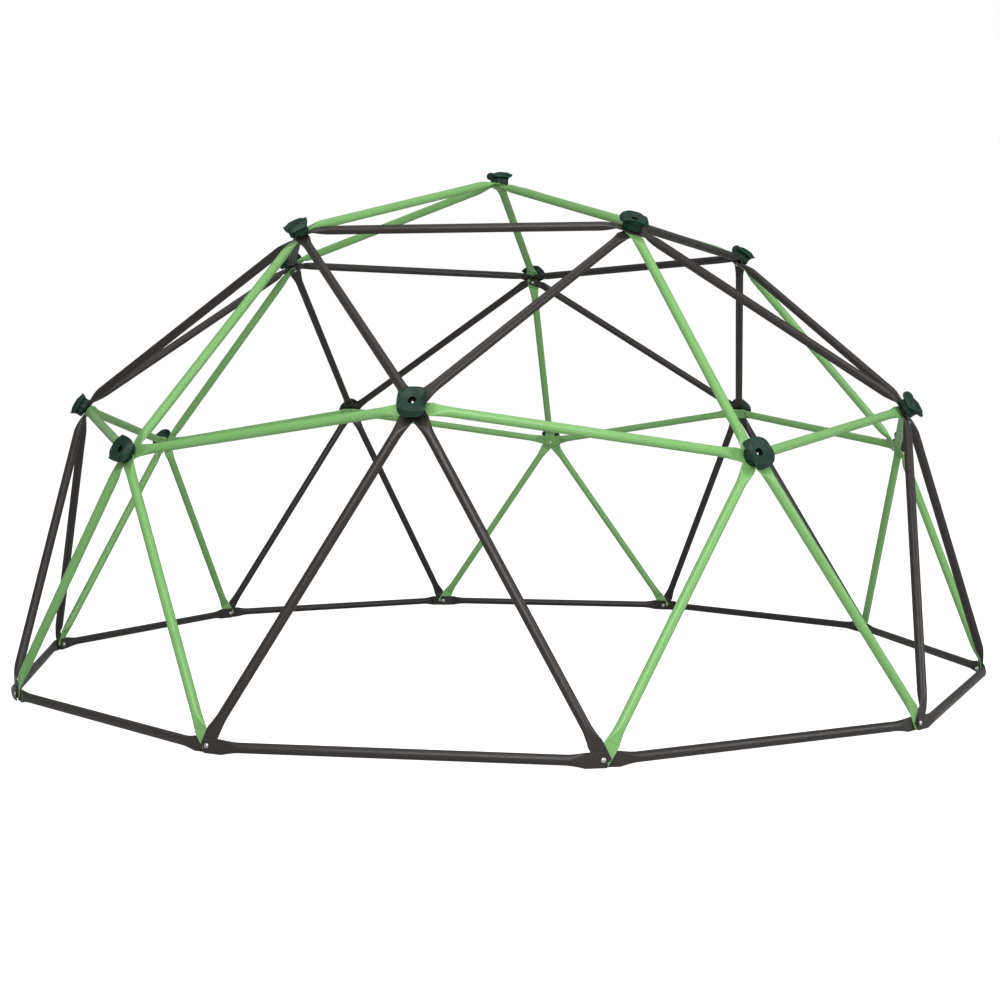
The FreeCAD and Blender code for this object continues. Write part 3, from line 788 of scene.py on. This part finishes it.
class Shader:
    """A Principled material and short ways to add the nodes that feed it."""

    def __init__(self, name):
        self.material = bpy.data.materials.new(name)
        self.material.use_nodes = True
        self.tree = self.material.node_tree
        self.surface = self.tree.nodes["Principled BSDF"]
        self.place = self.tree.nodes.new("ShaderNodeTexCoord").outputs["Object"]

    def link(self, a, b):
        self.tree.links.new(a, b)

    def set(self, socket, number):
        self.surface.inputs[socket].default_value = number

    def drive(self, socket, output):
        self.link(output, self.surface.inputs[socket])

    def noise(self, scale, detail):
        node = self.tree.nodes.new("ShaderNodeTexNoise")
        node.inputs["Scale"].default_value = scale
        node.inputs["Detail"].default_value = detail
        self.link(self.place, node.inputs["Vector"])
        return node.outputs["Fac"]

    def ranged(self, value, low, high, from_low=0.35, from_high=0.65):
        """Value stretched to run from low to high; the bulk of a noise lies from 0.35 to 0.65."""
        node = self.tree.nodes.new("ShaderNodeMapRange")
        for socket, number in (("From Min", from_low), ("From Max", from_high),
                               ("To Min", low), ("To Max", high)):
            node.inputs[socket].default_value = number
        self.link(value, node.inputs["Value"])
        return node.outputs["Result"]

    def mixed(self, factor, a, b):
        """Colour a where the factor is 0 and b where it is 1."""
        node = self.tree.nodes.new("ShaderNodeMix")
        node.data_type = "RGBA"
        for socket, colour in (("A", a), ("B", b)):
            target = next(s for s in node.inputs if s.name == socket and s.type == "RGBA")
            if isinstance(colour, tuple):
                target.default_value = (*colour, 1.0)
            else:
                self.link(colour, target)
        self.link(factor, node.inputs["Factor"])
        return next(s for s in node.outputs if s.type == "RGBA")

    def light_and_shade_number(self):
        node = self.tree.nodes.new("ShaderNodeAttribute")
        node.attribute_name = LIGHT_AND_SHADE_NUMBER
        return node.outputs["Fac"]

    def bumped(self, height, distance, strength, normal=None):
        node = self.tree.nodes.new("ShaderNodeBump")
        node.inputs["Distance"].default_value = distance
        node.inputs["Strength"].default_value = strength
        self.link(height, node.inputs["Height"])
        if normal is not None:
            self.link(normal, node.inputs["Normal"])
        return node.outputs["Normal"]


def scaled(colour, factor):
    return tuple(min(1.0, c * factor) for c in colour)


def powder_coat(name, colour, highlight_lift, rough_low, rough_high):
    """Baked powder coat: orange peel, faint clouding, and a painted highlight that pales the folded
    edges.
    """
    s = Shader(name)
    clouds = s.ranged(s.noise(scale=9.0, detail=3.0), 0.0, 1.0)
    base = s.mixed(clouds, scaled(colour, 0.97), scaled(colour, 1.03))
    speck = s.ranged(s.noise(scale=1400.0, detail=1.0), 0.0, 0.08, from_low=0.55, from_high=0.75)
    base = s.mixed(speck, base, scaled(colour, 1.5))
    # Painted highlight: the folded edges are lifted towards a paler colour
    edge = s.ranged(s.light_and_shade_number(), 0.0, 1.0, from_low=0.0, from_high=1.0)
    base = s.mixed(edge, base, scaled(colour, highlight_lift))
    s.drive("Base Color", base)
    s.drive("Roughness", s.ranged(s.noise(scale=60.0, detail=3.0), rough_low, rough_high))
    peel = s.bumped(s.noise(scale=420.0, detail=2.0), distance=0.00008, strength=0.4)
    grain = s.bumped(s.noise(scale=1800.0, detail=1.0), distance=0.00003, strength=0.5, normal=peel)
    s.drive("Normal", grain)
    s.set("IOR", 1.5)
    return s.material


def knob_plastic():
    """Dark green moulded plastic: fine spark-eroded grain, a painted highlight on the cap's edges
    and the well's mouth, and painted shade in the well.
    """
    s = Shader(KNOB_SLOT)
    clouds = s.ranged(s.noise(scale=55.0, detail=3.0), 0.0, 1.0)
    base = s.mixed(clouds, scaled(KNOB_GREEN, 0.85), scaled(KNOB_GREEN, 1.2))
    # Painted highlight: the cap's rim and the well's mouth are made paler
    edge = s.ranged(s.light_and_shade_number(), 0.0, 0.7, from_low=0.0, from_high=1.0)
    base = s.mixed(edge, base, scaled(KNOB_GREEN, 1.7))
    # Painted shade: the well is made nearly black
    painted_well_shade = s.ranged(s.light_and_shade_number(), 1.0, 0.0, from_low=WELL_SHADE, from_high=0.0)
    base = s.mixed(painted_well_shade, base, scaled(KNOB_GREEN, 0.12))
    s.drive("Base Color", base)
    s.drive("Roughness", s.ranged(s.noise(scale=240.0, detail=2.0), 0.38, 0.50))
    s.set("Specular IOR Level", 0.3)
    grain = s.bumped(s.noise(scale=1500.0, detail=2.0), distance=0.00006, strength=0.6)
    flow = s.bumped(s.noise(scale=90.0, detail=1.0), distance=0.0004, strength=0.2, normal=grain)
    s.drive("Normal", flow)
    return s.material


def zinc_plate():
    """Bright zinc plating, slightly clouded and finely scratched."""
    s = Shader(ZINC_SLOT)
    clouds = s.ranged(s.noise(scale=300.0, detail=3.0), 0.0, 1.0)
    s.drive("Base Color", s.mixed(clouds, scaled(ZINC, 0.86), scaled(ZINC, 1.08)))
    s.set("Metallic", 1.0)
    s.drive("Roughness", s.ranged(s.noise(scale=900.0, detail=3.0), 0.24, 0.40))
    scratches = s.bumped(s.noise(scale=2600.0, detail=2.0), distance=0.00003, strength=0.5)
    s.drive("Normal", scratches)
    return s.material


# Stage, light and camera -------------------------------------------------------------------------

def make_floor():
    mesh = Mesh()
    angles = angles_round(FLOOR_SEGMENTS)
    rim = FLOOR_RADIUS * np.stack([np.cos(angles), np.sin(angles), 0 * angles], axis=1)
    mesh.grid([rim, rim / 2], close_start=False)
    s = Shader("pale_floor")
    dark, pale = ((grey, grey, grey) for grey in FLOOR_GREYS)
    s.drive("Base Color", s.mixed(s.ranged(s.noise(scale=1.5, detail=2.0), 0.0, 1.0), dark, pale))
    s.set("Roughness", 0.9)
    s.set("Specular IOR Level", 0.1)
    s.set("Emission Color", WHITE)
    path = s.tree.nodes.new("ShaderNodeLightPath")
    s.drive("Emission Strength", s.ranged(path.outputs["Is Camera Ray"], 0.0, FLOOR_GLOW,
                                          from_low=0.0, from_high=1.0))
    floor = make_object("floor", mesh, s.material)
    floor.location.z = -FLOOR_DROP * MILLIMETRE


def make_world():
    """White to the camera, and a dimmer even light on the object."""
    world = bpy.data.worlds.new("studio")
    bpy.context.scene.world = world
    world.use_nodes = True
    tree = world.node_tree
    light = tree.nodes["Background"]
    light.inputs["Color"].default_value = WHITE
    light.inputs["Strength"].default_value = WORLD_LIGHT
    seen = tree.nodes.new("ShaderNodeBackground")
    seen.inputs["Color"].default_value = WHITE
    path = tree.nodes.new("ShaderNodeLightPath")
    mix = tree.nodes.new("ShaderNodeMixShader")
    tree.links.new(path.outputs["Is Camera Ray"], mix.inputs[0])
    tree.links.new(light.outputs[0], mix.inputs[1])
    tree.links.new(seen.outputs[0], mix.inputs[2])
    tree.links.new(mix.outputs[0], tree.nodes["World Output"].inputs["Surface"])


def make_light(name, azimuth, elevation, distance, size, watts):
    """Square soft box that faces the middle of the dome."""
    data = bpy.data.lights.new(name, "AREA")
    data.shape, data.size, data.energy = "SQUARE", size, watts
    lamp = bpy.data.objects.new(name, data)
    bpy.context.scene.collection.objects.link(lamp)
    a, e = math.radians(azimuth), math.radians(elevation)
    back = np.array([math.sin(a) * math.cos(e), -math.cos(a) * math.cos(e), math.sin(e)])
    across = unit(np.cross([0.0, 0.0, 1.0], back))
    matrix = frame_matrix(back * distance + LIGHT_AIM, across, back)
    lamp.matrix_world = Matrix(matrix.tolist())


def make_camera():
    data = bpy.data.cameras.new("camera")
    data.lens, data.sensor_width = CAMERA_LENS, SENSOR_WIDTH
    camera = bpy.data.objects.new("camera", data)
    bpy.context.scene.collection.objects.link(camera)
    a = math.radians(CAMERA_ORBIT)
    place = np.array([CAMERA_DISTANCE * math.sin(a), -CAMERA_DISTANCE * math.cos(a), CAMERA_HEIGHT])
    turn = (Matrix.Rotation(math.radians(CAMERA_HEADING), 4, "Z")
            @ Matrix.Rotation(math.radians(90 + CAMERA_TILT), 4, "X")
            @ Matrix.Rotation(math.radians(CAMERA_ROLL), 4, "Z"))
    camera.matrix_world = Matrix.Translation((place * MILLIMETRE).tolist()) @ turn
    bpy.context.scene.camera = camera


bpy.context.scene.view_settings.view_transform = "Standard"
make_camera()
make_world()
for lamp_name, setting in LIGHTS.items():
    make_light(lamp_name, *setting)
make_floor()
make_all_struts(powder_coat(GREEN_SLOT, GREEN, highlight_lift=1.12, rough_low=0.24, rough_high=0.34),
                powder_coat(BRONZE_SLOT, BRONZE, highlight_lift=1.25, rough_low=0.30, rough_high=0.42))
make_knobs(knob_plastic())
make_fasteners(zinc_plate())
